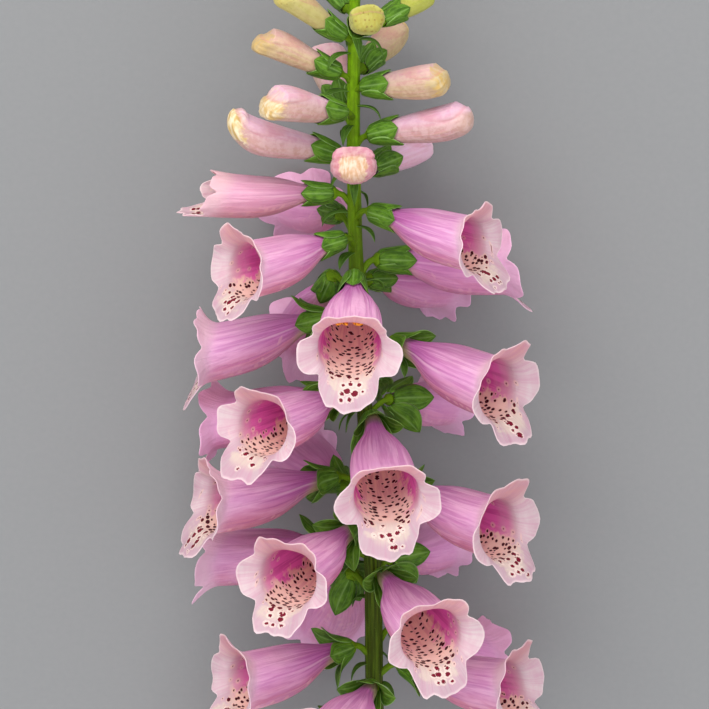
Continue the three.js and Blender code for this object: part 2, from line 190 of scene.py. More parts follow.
class Wiring:
    """Adds nodes to one tree. Each input takes a number, a screen colour of three numbers or a Value."""

    def __init__(self, tree):
        self.tree = tree

    def node(self, kind, values=(), **settings):
        """Adds a node and gives its outputs in their order."""
        made = self.tree.nodes.new("ShaderNode" + kind)
        for name, value in settings.items():
            setattr(made, name, value)
        for socket, value in dict(values).items():
            self.feed(made.inputs[socket], value)
        return [Value(self, socket) for socket in made.outputs]

    def feed(self, socket, value):
        if isinstance(value, Value):
            self.tree.links.new(value.socket, socket)
        else:
            socket.default_value = colour(*value) if isinstance(value, tuple) else value

    def math(self, operation, a, b=0, c=0):
        return self.node("Math", {0: a, 1: b, 2: c}, operation=operation)[0]

    def vectors(self, operation, a, b):
        return self.node("VectorMath", {0: a, 1: b}, operation=operation)[0]

    def fade(self, value, low, high):
        """0 where value is at low and 1 where it is at high, with a smooth change between."""
        values = {"Value": value, "From Min": low, "From Max": high}
        return self.node("MapRange", values, interpolation_type="SMOOTHSTEP")[0]

    def mix(self, share, a, b):
        return self.node("Mix", {0: share, 6: a, 7: b}, data_type="RGBA")[2]

    def vector(self, x, y, z=0):
        return self.node("CombineXYZ", {0: x, 1: y, 2: z})[0]

    def parts(self, vector):
        return self.node("SeparateXYZ", {0: vector})

    def map(self, name):
        """The two numbers of one of the mesh's maps."""
        return self.parts(self.node("UVMap", uv_map=name)[0])[:2]

    def position(self):
        """The place on the object, in metres."""
        _, _, _, on_object, *_ = self.node("TexCoord")
        return on_object

    def noise(self, vector, scale, detail=2, roughness=0.5):
        values = {"Vector": vector, "Scale": scale, "Detail": detail, "Roughness": roughness}
        return self.node("TexNoise", values)[0]

    def group(self, tree, *first, **named):
        """Places a node group. Its inputs are fed in their order or by name, with _ for a space."""
        values = dict(enumerate(first))
        values.update((name.replace("_", " "), value) for name, value in named.items())
        return self.node("Group", values, node_tree=tree)


def new_group(name, inputs, outputs, **kinds):
    """A node group, its wiring, its inputs and a function that feeds its outputs. Most are plain numbers."""
    tree = bpy.data.node_groups.new(name, "ShaderNodeTree")
    for direction, sockets in (("INPUT", inputs), ("OUTPUT", outputs)):
        for socket in sockets:
            kind = "NodeSocket" + kinds.get(socket, "Float")
            tree.interface.new_socket(socket, in_out=direction, socket_type=kind)
    entry = tree.nodes.new("NodeGroupInput").outputs
    leaving = tree.nodes.new("NodeGroupOutput").inputs
    wiring = Wiring(tree)

    def give(**values):
        for socket, value in values.items():
            wiring.feed(leaving[socket], value)

    return tree, wiring, [Value(wiring, entry[socket]) for socket in inputs], give


def new_material(name):
    material = bpy.data.materials.new(name)
    material.use_nodes = True
    material.node_tree.nodes.clear()
    return material, Wiring(material.node_tree)


def thin_finish(wiring, shade, height, roughness, see_through, bump=0.3, sheen=0, shine=0.3):
    """A soft thin blade: a rough surface that lets some light through from behind."""
    normal = wiring.node("Bump", {"Height": height, "Strength": bump, "Distance": BUMP_DEPTH})[0]
    surface = wiring.node("BsdfPrincipled", {
        "Base Color": shade, "Roughness": roughness, "Normal": normal,
        "Sheen Weight": sheen, "Sheen Roughness": 0.5, "Specular IOR Level": shine,
    })[0]
    glow = wiring.node("BsdfTranslucent", {"Color": shade, "Normal": normal})[0]
    both = wiring.node("MixShader", {0: see_through, 1: surface, 2: glow})[0]
    wiring.node("OutputMaterial", {"Surface": both})


# Fine lengthwise lines, as in a stem's skin or a petal's veins. Across is from -0.5 to 0.5.
inputs = ("Across", "Along mm", "Lines", "Seed")
fibres, w, (across, along, count, seed), give = new_group("Lengthwise fibres", inputs, ("Lines", "Mottle"))
aside = across * count
waved = aside + w.noise(w.vector(aside, along * 0.12, seed), 0.35) * 1.6
fine = w.noise(w.vector(waved, along * 0.035, seed), 1, 3, 0.6)
patch = w.noise(w.vector(aside * 0.25, along * 0.2, seed), 1, 3, 0.6)
give(Lines=w.fade(fine, 0.42, 0.62), Mottle=w.fade(patch, 0.35, 0.65))

stem_green, w = new_material("Green stem skin")
across, along = w.map("place")
lines, mottle = w.group(fibres, across, along, 26, 3)
young = w.fade(along, -15, 126)
skin = w.mix(young, (48, 60, 2), (110, 152, 4))
ridged = w.mix(lines * 0.32, skin, (112, 142, 28))
shaded = w.mix(mottle * 0.35, ridged, (56, 66, 8))
thin_finish(w, shaded, lines, 0.6, 0.04, bump=0.4, shine=0.12)

pith, w = new_material("Cut pith")
across, along = w.map("place")
speckle = w.noise(w.vector(across * 30, along, 0), 1.5, 4, 0.7)
shade = w.mix(speckle, (206, 214, 160), (150, 172, 96))
thin_finish(w, shade, speckle, 0.6, 0.1)

rod = Sheets()
stations = np.linspace(STEM_FOOT, STEM_TIP, 160)
turn = full_turn(49)
ridges = 1 + 0.045 * np.cos(7 * turn) + 0.02 * np.cos(12 * turn + 1)
knots = 1 + 0.03 * np.sin(stations * 0.21) * np.sin(stations * 0.053)
radii = stem_radius(stations)[:, None] * knots[:, None] * ridges
body = rings_along(stem_at(stations), radii, np.array([1.0, 0, 0]), np.array([0, 0, 1.0]))
tip = np.broadcast_to(stem_at(STEM_TIP) + [0, 0.6, 0], (1, len(turn), 3))
part_turn = turn / (2 * math.pi)
rod.add(np.concatenate([body, tip]), place=paired(part_turn, np.append(stations, STEM_TIP)[:, None]))
foot = stem_at(STEM_FOOT)
cut = np.stack([foot + (body[0] - foot) * share for share in (1, 0.93, 0.6, 0.3, 0)])
cut[1:, :, 1] += PITH_DEPTH
rod.add(cut, slot=1, place=paired(part_turn, np.arange(5.0)[:, None]))
rod.piece("stem", "leafy_stem", [stem_green, pith])

# Flower stalks and receptacles
# Each flower and each bud hangs from the stem on a short round green stalk that bends outwards. It widens
# into the receptacle, the small cup that carries the sepals and the petals. They grow as one with the stem.
SEAT_REACH = 11
SEAT_GAP = 0.3
NODE_DROP = 6
TUBE = 48.7
YOUNG_FLOWERS = 9
VIEW_TILT = math.radians(20)
VIEW_DISTANCE = 2500
SHUT_SEPALS = 0.12
SPREAD_SEPALS = 1.1


def unit(v):
    return v / np.maximum(np.linalg.norm(v, axis=-1, keepdims=True), 1e-9)


def seen(seat, mouth, side, **rest):
    """Where a flower's receptacle and the middle of its mouth show. Its side is 1 in front of the stem."""
    return dict(seat=seat, mouth=mouth, side=side, **rest)


# The open flowers from the top down. What isn't as usual follows: size, how wide the tube is for that
# (girth), how far the lobes are open, how much longer the upper ones are (tall), how large the calyx is and
# how far its sepals spread.
OPEN_FLOWERS = [
    seen((-9, 64.5), (-57, 64), 0.2, size=0.9, open=0, girth=0.83),
    seen((-6, 56), (-21, 60), -1, size=0.84),
    seen((-5, 46), (-44, 34), 1, size=0.92, girth=1.04, tall=0.15),
    seen((7, 57), (47.5, 44.5), 1, size=0.92),
    seen((10, 38), (56, 36), -0.8),
    seen((6, 30), (31, 29), -1, size=0.86),
    seen((-11, 15), (-58, 1), -0.2, size=1.02, open=1.05, girth=0.95, spread=1.1),
    seen((-9, 31), (-19, 10), -1, size=0.92),
    seen((0, 31), (-2, 2), 1, girth=0.96),
    seen((16, 5), (57.5, -13.5), 1, size=1.04, tall=0.2),
    seen((14, -18), (33, -19), -1, size=0.8, open=0.6, calyx=1.15),
    seen((-5, -16), (-37, -29), 1, size=0.97),
    seen((-8, -15), (-53, -26), -1, size=1.02, girth=0.92, spread=0.7),
    seen((-8, -49), (-56, -59), 0.4, size=1.03),
    seen((-4, -52), (-23, -38), -1, size=0.86),
    seen((7, -25), (13, -57), 1),
    seen((17, -53), (58, -69.5), 1, size=1.03, open=1.1, tall=0.2),
    seen((14, -82), (32, -77), -1, size=0.8, open=0.75, calyx=1.1),
    seen((-1, -70), (-27, -89.5), 1),
    seen((-9, -76), (-51.5, -80.5), -0.4, open=0.8),
    seen((-1, -88), (-10, -104), -1),
    seen((-2, -117), (-46, -131), 0.6, tall=0.12),
    seen((11, -88), (31, -113), 1),
    seen((16, -110), (50, -121), -1, size=0.96),
    seen((19, -124), (63, -133.5), 0.4, tall=0.2),
    seen((7, -133), (-10, -156), 1),
    seen((-2, -146), (-42, -156), -0.6),
]

# The coloured buds, whose mouth is their tip: length, widest radius (girth), how cream the folded lips are
# (cap) and, on some, how far they bend to their back, how flat they are, how much the tip tapers and how far
# the cream reaches down the middle (panel).
BUDS = [
    seen((-3, 139), (-15, 156), -1, length=27, girth=4.8, cap=0.5),
    seen((11, 134), (30, 145), -0.5, length=28, girth=5, cap=0.3),
    seen((2, 132), (6, 135), 1, length=28, girth=6.4, cap=0.7, flat=0.94, spread=0.4),
    seen((-5, 128), (-30, 145), 0.3, length=32, girth=5.4, cap=0.4, bend=-1),
    seen((3, 115), (18, 132), -1, length=34, girth=6, cap=0.4, bend=1),
    seen((-7, 113), (-39.5, 127), 0.2, length=36, girth=6, cap=0.8, bend=-1),
    seen((4, 107), (37.5, 111), 0.2, length=35, girth=6.9, cap=1, bend=0.5),
    seen((-5, 99), (-12, 123), -1, length=42, girth=7.4, cap=0.3),
    seen((-5, 97), (-36, 101), 1, length=37, girth=7.2, cap=0.9, bend=-1),
    seen((-7, 80), (-51, 94), 0.2, length=47, girth=7.2, cap=1, bend=3, taper=0.16),
    seen((7, 88), (47, 96), 0.2, length=42, girth=7.2, cap=0.1, bend=1),
    seen((0, 74), (-0.5, 77), 1, length=42, girth=8.6, cap=0.62, flat=0.88, panel=1),
    seen((7, 75), (28, 85), -1, length=40, girth=6.8, cap=0.1),
]


def placed(number, seat, mouth, side, length=None, calyx=None, **rest):
    """Where a flower sits and the way its tube points, from how it shows to the tilted viewer."""
    form = {**dict(size=1, open=1, girth=1, flat=1, bend=0, panel=0, taper=0, tall=0), **rest}
    sin, cos = math.sin(VIEW_TILT), math.cos(VIEW_TILT)
    length = length or TUBE * form["size"]

    def spot(shown, near):
        shrink = 1 - near / VIEW_DISTANCE
        x, up = shown
        return np.array([x * shrink, cos * up * shrink + sin * near, cos * near - sin * up * shrink])

    aside = seat[0] - stem_x(seat[1] / cos)
    lift = side * math.sqrt(max(SEAT_REACH ** 2 - aside ** 2, 0))
    origin = spot(seat, (lift + sin * seat[1]) / cos)
    towards = np.array([0, sin, cos])
    axis = np.zeros(3)
    for _ in range(4):
        level = spot(mouth, towards @ (origin + length * axis)) - origin
        in_view = level - towards * (towards @ level)
        rest_of_length = math.sqrt(max(length ** 2 - in_view @ in_view, 0))
        axis = unit(in_view + towards * math.copysign(rest_of_length, side))
    origin[2] += STEM_HEIGHT
    up = np.array([0.0, 1, 0])
    back = unit(up - axis * (up @ axis))
    # shaded grows to 1 the further a flower sits behind the stem. It sets how far painted light lifts the
    # colour of its outside petals.
    return SimpleNamespace(number=number, origin=origin, axis=axis, back=back, across=np.cross(axis, back),
                           length=length, calyx=calyx or min(form["size"], 1), shaded=max(-side, 0), **form)


def in_flower(flower, along, aside, back):
    """Points from their place along the tube, to the side and towards the back of the flower."""
    along, aside, back = np.broadcast_arrays(along, aside, back)
    return (flower.origin + along[..., None] * flower.axis + aside[..., None] * flower.across
            + back[..., None] * flower.back)


flowers = [placed(i, **{"spread": SHUT_SEPALS if i < YOUNG_FLOWERS else SPREAD_SEPALS, **row})
           for i, row in enumerate(OPEN_FLOWERS)]
buds = [placed(len(flowers) + i, **{"size": 0.8 + 0.015 * i, "spread": 0.02 * (row["girth"] - 4), **row})
        for i, row in enumerate(BUDS)]


def bezier(corners, t):
    """Points of a Bezier curve at t, a column of numbers from 0 to 1."""
    corners = [np.asarray(corner, float) for corner in corners]
    while len(corners) > 1:
        corners = [a * (1 - t) + b * t for a, b in zip(corners, corners[1:])]
    return corners[0]


def stalk_path(flower, t):
    foot = stem_at(flower.origin[1] - NODE_DROP)
    seat = in_flower(flower, -SEAT_GAP, 0, 0)
    return bezier([foot, (foot + seat) / 2 + [0, 0.5, 0], in_flower(flower, -6, 0, 0), seat], t)


def stalk(sheets, flower):
    scale = min(flower.size, 1)
    t = np.linspace(0, 0.82, 14)[:, None]
    path = stalk_path(flower, t)
    tangent = unit(np.gradient(path, axis=0))
    across = unit(flower.across - tangent * (tangent @ flower.across)[:, None])
    over = np.cross(tangent, across)
    turn = full_turn(17)
    ridges = 1 + 0.05 * np.cos(5 * turn)
    tube = rings_along(path, (1.3 * scale + 0.5 * (1 - t) ** 4) * ridges, across, over)
    cup_along = np.array([-2.2, -1.5, -0.8, -SEAT_GAP, -SEAT_GAP]) * scale
    cup_radius = np.array([1.9, 2.8, 3.15, 2.9, 0]) * scale
    cup = rings_along(in_flower(flower, cup_along, 0, 0), cup_radius[:, None] * ridges,
                      flower.across[None], np.cross(flower.axis, flower.across)[None])
    whole = np.concatenate([tube, cup])
    place = paired(turn / (2 * math.pi), np.arange(len(whole))[:, None] + 60)
    sheets.add(whole, place=place)


stalks = Sheets()
for one in flowers + buds:
    stalk(stalks, one)
stalks.piece("flower_stalks", "leafy_stem", [stem_green])

# Sepals
# Five broad pointed green leaves stand on each receptacle's rim and hold the base of the petals. Each has
# one edge under its neighbour and one over it. They cup a bud closely and spread under an old flower.
SEPALS = 5
SEPAL_LENGTH = 14
OLD_SEPAL = 1.12
BUD_FIT = 0.35
BUD_NECK = 2.7
PETAL_BULGE = 1.05
SEPAL_CLEARANCE = 0.36
SEPAL_OVERLAP = 0.38
SEPAL_THICK = 0.26
# How far the petals inside stand out: an open flower's tube to its sides, its back and its belly, and a bud
tube_width = through([0, 2], [0.06, 2.9], [0.15, 3.5], [0.25, 4.7], [0.33, 6.8], [0.42, 9.3], [0.52, 11.1],
                     [0.65, 12.2], [0.8, 12.8], [1.1, 13.8])
tube_back = through([0, 2], [0.06, 2.9], [0.15, 3.4], [0.25, 4.3], [0.36, 5.9], [0.5, 7.5], [0.7, 8.6],
                    [0.88, 9.6], [1.1, 10.6])
tube_belly = through([0, 2], [0.06, 2.9], [0.15, 3.3], [0.25, 4.3], [0.36, 6.9], [0.52, 10.3], [0.7, 12],
                     [0.88, 11.9], [1.1, 11.2])
bud_swell = through([0, 0], [0.1, 0.3], [0.25, 0.55], [0.5, 0.86], [0.7, 1], [0.88, 0.94], [0.96, 0.86],
                    [1, 0.8])
sepal_half_width = through([0, 1.9], [0.14, 3.4], [0.36, 4.9], [0.58, 4.9], [0.78, 3.5], [0.92, 1.5],
                           [1, 0.1])


def wobble(i, use):
    """A repeatable number from -1 to 1 for piece i, a different one for each use."""
    return math.sin(i * 12.9898 + use * 78.233)


# A leaf's colours from Across, -1 to 1 over its width, and Along, 0 to 1 from its foot.
inputs = ("Across", "Along", "Seed", "Green", "Shade", "Margin")
coloured = dict.fromkeys(("Green", "Shade", "Margin", "Color"), "Color")
leaf_blade, w, entry, give = new_group("Leaf blade", inputs, ("Color", "Height"), **coloured)
across, along, seed, green, shade, margin = entry
off_centre = abs(across)
midrib = w.fade(off_centre, 0.07, 0.01)
side_veins = w.fade(w.math("SINE", off_centre * 21), 0.6, 1)
grain = w.noise(w.vector(across * 1.5, along * 2, seed), 1.6, 4, 0.65)
pores = w.noise(w.vector(across * 5, along * 14, seed), 3, 2)
body = w.mix(w.fade(grain, 0.32, 0.68), shade, green)
veined = w.mix(side_veins * 0.14, body, margin)
ribbed = w.mix(midrib * 0.45, veined, margin)
edged = w.mix(w.fade(off_centre, 0.86, 0.97) * 0.85, ribbed, margin)
give(Color=edged, Height=pores * 0.6 - (side_veins + midrib))


def leaf_material(name, blade, green, shade, margin):
    material, w = new_material(name)
    across, along = w.map("place")
    number, _ = w.map("flower")
    tint, height = w.group(blade, across, along, number, green, shade, margin)
    thin_finish(w, tint, height, 0.55, 0.16, bump=0.35, shine=0.2)
    return material


def blade(sheets, middle, s, t, thick, number):
    """A thin leaf round its middle surface, s from edge to edge and t from foot to sharp tip."""
    along, aside = np.gradient(middle, axis=0), np.gradient(middle, axis=1)
    normal = unit(np.cross(along, aside))
    half_thick = thick * np.sqrt(np.clip(1 - s ** 2, 0, 1)) * np.sqrt(np.clip(t * (1 - t) * 12, 0, 1))
    for face in (1, -1):
        sheets.add(middle + face * half_thick[..., None] * normal, place=paired(s, t), flower=(number, 0))


def on_flower(flower, turn, along, out):
    """A point round the flower's axis: turn 0 is below and pi towards the back."""
    scale = flower.calyx
    return in_flower(flower, along * scale, out * scale * np.sin(turn), -out * scale * np.cos(turn))


def bud_radius(flower, reach):
    neck = BUD_NECK * min(flower.size, 1)
    return neck + bud_swell(reach) * (flower.girth - neck)


def bud_bend(flower, reach):
    """How far a bud's middle leaves its axis towards the back."""
    return 0.6 * flower.bend * (4 * np.maximum(reach - 0.3, 0) ** 2 - 20 * reach ** 3 * (1 - reach))


def petals_reach(flower, turn, along):
    """How far from the axis the petals come at this turn, so many mm from their seat."""
    if flower.number < len(flowers):
        at = np.maximum(along, 0) / (flower.size * TUBE)
        wide, front, back = (flower.size * flower.girth * form(at)
                             for form in (tube_width, tube_belly, tube_back))
        moved = 0
    else:
        reach = np.clip(along / flower.length, 0, 1)
        radius = bud_radius(flower, reach)
        wide, front, back = 1.04 * radius, flower.flat * radius, 0.86 * flower.flat * radius
        moved = -np.cos(turn) * bud_bend(flower, reach)
    deep = np.where(np.cos(turn) > 0, front, back)
    return PETAL_BULGE / np.hypot(np.sin(turn) / wide, np.cos(turn) / deep) + moved


def sepal(sheets, flower, k):
    t = np.linspace(0, 1, 17)[:, None]
    s = np.linspace(-1, 1, 11)[None, :]
    spread = flower.spread * (1 + 0.3 * wobble(flower.number, k))
    along = through([0, -1.2], [0.12, 0.2], [0.47, 6.4], [1, SEPAL_LENGTH - 2.5 * spread])(t)
    fit = BUD_FIT * (flower.girth - 6) if flower.number >= len(flowers) else 0
    out = through([0, 2.4], [0.12, 3.9], [0.47, 4.8 + fit + 2.1 * spread], [0.75, 5.1 + fit + 3.9 * spread],
                  [1, 5.2 + fit + 5.9 * spread])(t)
    broad = 0.8 if k == 0 else OLD_SEPAL if flower.spread > 0.5 else 1
    half = sepal_half_width(t) * broad * (1 + 0.06 * wobble(flower.number, k + 20))
    turn = math.pi + k / SEPALS * 2 * math.pi + s * half / np.maximum(out, 4.2)
    curl = (0.3 + 0.9 * spread) * wobble(flower.number, k + 9) * t ** 2
    waves = 0.15 * np.sin(8 * t + 4 * s + k) * s ** 2
    rib = 0.22 * np.exp(-(s / 0.12) ** 2) * (1 - 0.7 * t)
    over = SEPAL_OVERLAP * s * np.sin(math.pi * np.minimum(t * 1.4, 1))
    cupped = -0.05 * half * s ** 2 * spread
    turn += 0.08 * curl
    free = out + cupped + waves + rib + curl
    inside = petals_reach(flower, turn, along * flower.calyx)
    clear = (inside + SEPAL_CLEARANCE) / flower.calyx + SEPAL_OVERLAP
    held = (free + clear + np.hypot(free - clear, 0.3)) / 2
    middle = on_flower(flower, turn, along, held + over)
    blade(sheets, middle, s, t, SEPAL_THICK, flower.number + k)


sepal_green = leaf_material("Green sepal", leaf_blade, (94, 136, 32), (56, 92, 14), (144, 180, 100))
calyces = Sheets()
for one in flowers + buds:
    for k in range(SEPALS):
        sepal(calyces, one, k)
calyces.piece("calyces", "leafy_stem", [sepal_green])

# Bracts
# Under each flower stalk the stem carries one narrow pointed leaf, folded along its middle. It grows out
# from the stem and then hangs down in a hook.
BRACT_LENGTH = 15
BRACT_WIDTH = 3.6
BRACT_DROP = 3
BRACT_THICK = 0.28
bract_half_width = through([0, 0.5], [0.2, 0.8], [0.45, 1], [0.75, 0.62], [0.93, 0.2], [1, 0.03])


def bract(sheets, flower):
    foot = stem_at(flower.origin[1] - NODE_DROP - BRACT_DROP)
    away = unit((flower.origin - foot) * [1, 0, 1])
    across = np.cross(away, [0, 1, 0])
    length = BRACT_LENGTH * (0.85 + 0.2 * wobble(flower.number, 7))
    droop = 0.5 + 0.3 * wobble(flower.number, 8)
    t = np.linspace(0, 1, 17)[:, None]
    path = bezier([foot, foot + away * 0.75 * length + [0, 0.2 * length, 0],
                   foot + away * 0.85 * length - [0, droop * length, 0]], t)
    face = unit(np.cross(across, np.gradient(path, axis=0)))
    s = np.linspace(-1, 1, 9)[None, :]
    half = bract_half_width(t) * BRACT_WIDTH / 2
    fold = 0.35 * half * np.abs(s)
    twist = 0.5 * wobble(flower.number, 9) * t * s * half
    middle = path[:, None, :] + (s * half)[..., None] * across + (fold + twist)[..., None] * face[:, None, :]
    blade(sheets, middle, s, t, BRACT_THICK, flower.number)


bract_green = leaf_material("Green bract", leaf_blade, (78, 116, 26), (48, 78, 12), (122, 158, 80))
bracts = Sheets()
for one in flowers + buds:
    bract(bracts, one)
bracts.piece("bracts", "leafy_stem", [bract_green])

# Closed green buds
# Above the coloured buds the spike ends in a cone of small buds that are still shut inside their sepals.
# They sit close to the stem in a spiral and get smaller towards the tip.
CLOSED_BUDS = 17
CLOSED_BUDS_START = 158
CLOSED_BUDS_RUN = 65
GOLDEN_TURN = math.radians(137.5)
closed_bud_form = through([0, 0.3], [0.12, 0.45], [0.35, 0.85], [0.52, 1], [0.75, 0.78], [0.92, 0.32],
                          [1, 0.02])


def closed_bud(sheets, k):
    rise = k / (CLOSED_BUDS - 1)
    start = stem_at(CLOSED_BUDS_START + CLOSED_BUDS_RUN * rise ** 0.85)
    turn = k * GOLDEN_TURN + 0.6
    away = np.array([math.sin(turn), 0, math.cos(turn)])
    axis = unit(away * (1 - 0.35 * rise) + [0, 0.55 + 0.7 * rise, 0])
    radius = 4.4 - 2.5 * rise
    t = np.linspace(0, 1, 22)
    path = start + axis * (0.5 + 4.4 * radius * t[:, None])
    across = unit(np.cross(axis, [0.31, 0.13, 0.94]))
    within = np.sin(2.5 * full_turn(41))
    seams = 1 - 0.16 * np.exp(-(within / 0.25) ** 2) * np.sin(math.pi * t[:, None])
    radii = radius * closed_bud_form(t)[:, None] * seams
    grid = rings_along(path, radii, across[None], np.cross(axis, across)[None])
    sheets.add(grid, place=paired(1 - np.abs(within), t[:, None]), flower=(k, 0))


closed = Sheets()
for k in range(CLOSED_BUDS):
    closed_bud(closed, k)
closed_green = leaf_material("Green closed bud", leaf_blade, (122, 156, 52), (84, 122, 30), (176, 196, 110))
closed.piece("closed_buds", "leafy_stem", [closed_green])

# Hairs
# The stem and the flower stalks are downy: each hair is a soft pale green bristle under a millimetre long
# that stands out from the skin.
STEM_HAIRS = 5200
STALK_HAIRS = 30
HAIR_RADIUS = 0.03
HAIR_LENGTH = (0.35, 0.9)
HAIR_ROOT = 0.15

hair_green, w = new_material("Pale hairs")
_, along = w.map("place")
shade = w.mix(along, (74, 100, 8), (146, 168, 60))
thin_finish(w, shade, along, 0.7, 0.4, shine=0.1)


def hair_grid(root, outward, lean, length):
    """Closed three-sided bristles as grids that share their point at both ends."""
    direction = unit(outward + lean)
    across = unit(np.cross(direction, [0.3, 0.9, 0.2]))
    over = np.cross(direction, across)
    turn = np.linspace(0, 2 * math.pi, 4)
    around = HAIR_RADIUS * (np.cos(turn)[:, None] * across + np.sin(turn)[:, None] * over)
    foot = root - HAIR_ROOT * direction
    return np.stack([np.broadcast_to(foot, (4, 3)), foot + around,
                     np.broadcast_to(root + length * direction, (4, 3))])


down = Sheets()
chance = np.random.default_rng(7)
place = paired(0, np.array([[0], [0], [1]]))


def grow(root, outward):
    lean = chance.normal(0, 0.35, 3)
    down.add(hair_grid(root, outward, lean, chance.uniform(*HAIR_LENGTH)), place=place)


for y in chance.uniform(STEM_FOOT + 1, CLOSED_BUDS_START, STEM_HAIRS):
    angle = chance.uniform(0, 2 * math.pi)
    outward = np.array([math.cos(angle), 0, math.sin(angle)])
    grow(stem_at(y) + outward * 0.98 * stem_radius(y), outward)
for flower in flowers + buds:
    for t in chance.uniform(0.25, 0.85, STALK_HAIRS):
        outward = unit(np.cross(chance.normal(0, 1, 3), flower.axis))
        grow(stalk_path(flower, t) + outward * 1.25 * min(flower.size, 1), outward)
down.piece("hairs", "leafy_stem", [hair_green])

# Open corollas
# The petals of a foxglove are grown into one hanging bell: a narrow base, a wide tube, and a mouth with five
# shallow lobes, of which the lower lip is the longest. It is thin and limp, purple-pink outside with fine
# veins, and inside its floor is cream and covered with maroon spots that lead up the tube.
PETAL = 0.7
LOBE_STEPS = 8
# The lobes' length and how far they lean out, by the degrees from the middle of the lower lip
lobe_length = through([0, 15.6], [16, 14.6], [25, 14.4], [36, 11], [50, 5.6], [58, 6.4], [68, 9], [86, 10.2],
                      [102, 9.2], [110, 7.2], [118, 5.8], [126, 7.8], [135, 9.8], [148, 10.8], [162, 10.6],
                      [173, 9.8], [180, 9])
lobe_flare = through([0, 46], [54, 60], [86, 78], [118, 70], [150, 70], [180, 66])
flare_run = through([0, 6], [90, 3.2], [180, 5])
BELLY_SQUARE = 0.94
BACK_SQUARE = 0.84
# Rows of the mesh: reach 0 to 1 is the tube and 1 to 2 the lobes
COLUMNS = 85
TUBE_ROWS = np.linspace(0, 1, 34)
LOBE_ROWS = 1 + np.array([*np.linspace(0, 0.94, 18)[1:], 0.965, 0.985, 0.996, 1])
THROAT_END = 0.16
FLOWER_WITH_STAMENS_OUT = 8
FILAMENT = 0.42
STYLE = 0.33
POLLEN_SAC = (1.9, 1.05, 0.85)
wall_half = through([0, 0.35], [1, 0.32], [1.3, 0.26], [1.94, 0.2], [1.985, 0.15], [1.996, 0.08], [2, 0])


def tube_end(turn):
    return 0.965 + 0.103 * np.cos(turn)


def squared(wave, power):
    """A sine or cosine that makes a ring squarer, the more so the smaller power is."""
    return np.sign(wave) * np.abs(wave) ** power


def petal_sheet(flower, turn, reach):
    """The middle of the petal wall, with the lobes' flare, their frilled rims and the tube's soft creases."""
    scale, seed, girth = flower.size, flower.number, flower.girth
    around = np.degrees(np.abs(np.arctan2(np.sin(turn), np.cos(turn))))
    along = np.minimum(reach, 1) * tube_end(turn)
    lower = np.cos(turn) > 0
    width, height = girth * tube_width(along), girth * np.where(lower, tube_belly(along), tube_back(along))
    square = np.where(lower, BELLY_SQUARE, BACK_SQUARE)
    across, down = squared(np.sin(turn), square), squared(np.cos(turn), square)
    out_across, out_down = across / width, down / height
    norm = np.hypot(out_across, out_down)
    out_across, out_down = out_across / norm, out_down / norm

    past = np.maximum(reach - 1, 0)
    toothed = 0.3 + 0.7 * np.exp(-(turn / 0.7) ** 2)
    uneven = 1 + toothed * (0.035 * np.sin(9 * turn + seed) + 0.035 * np.sin(19 * turn + 2.3 * seed))
    skewed = np.degrees(np.abs(turn + 0.14 * wobble(seed, 31) * np.cos(turn / 2) ** 4))
    lobe = past * lobe_length(np.minimum(skewed, 180)) * np.where(past > 0, uneven, 1)
    lobe *= 1 + flower.tall * (0.35 - np.cos(turn))
    first = 4 - 8 * np.cos(turn)
    spread = (lobe_flare(around) - first) * flower.open * (1 + 0.12 * wobble(seed, 32) * np.cos(turn))
    forward, outward = np.zeros_like(lobe), np.zeros_like(lobe)
    for k in range(LOBE_STEPS):
        gone = lobe * (k + 0.5) / LOBE_STEPS
        lean = np.radians(first + spread * (1 - np.exp(-gone / flare_run(around))))
        forward += lobe / LOBE_STEPS * np.cos(lean)
        outward += lobe / LOBE_STEPS * np.sin(lean)
    frill = past ** 1.6 * (0.7 * np.sin(5 * turn + seed * 1.7) + 0.3 * np.sin(13 * turn + seed * 0.9))
    crease = 0.16 * np.sin(11 * turn + seed) * np.sin(math.pi * np.minimum(reach, 1)) * (np.cos(turn) < 0.4)
    crease += 0.35 * past ** 2 * np.sin(13 * turn + 2.1 * seed)
    forward += frill
    outward += crease
    points = in_flower(flower, scale * (along * TUBE + forward),
                       scale * (width * across + outward * out_across),
                       -scale * (height * down + outward * out_down))
    return pressed(flower, points), along * TUBE, lobe


def pressed(flower, points):
    """What would pass below the surface bends outwards and lies on it."""
    sunk = np.maximum(PETAL / 2 - points[..., 2], 0)[..., None]
    away = points - in_flower(flower, flower.length, 0, 0)
    away = unit(away * [1, 1, 0])
    laid = points + 0.6 * sunk * away
    laid[..., 2] = np.maximum(points[..., 2], PETAL / 2)
    return laid


def measured(sheet, along, lobe, turn):
    """Place maps: mm round the tube from the middle of the lower lip, and mm past the mouth's edge."""
    steps = np.linalg.norm(np.diff(sheet, axis=1), axis=-1)
    run = np.concatenate([np.zeros((len(sheet), 1)), np.cumsum(steps, axis=1)], axis=1)
    run -= run[:, [run.shape[1] // 2]]
    past_edge = along - TUBE * tube_end(turn) + lobe
    return run, past_edge


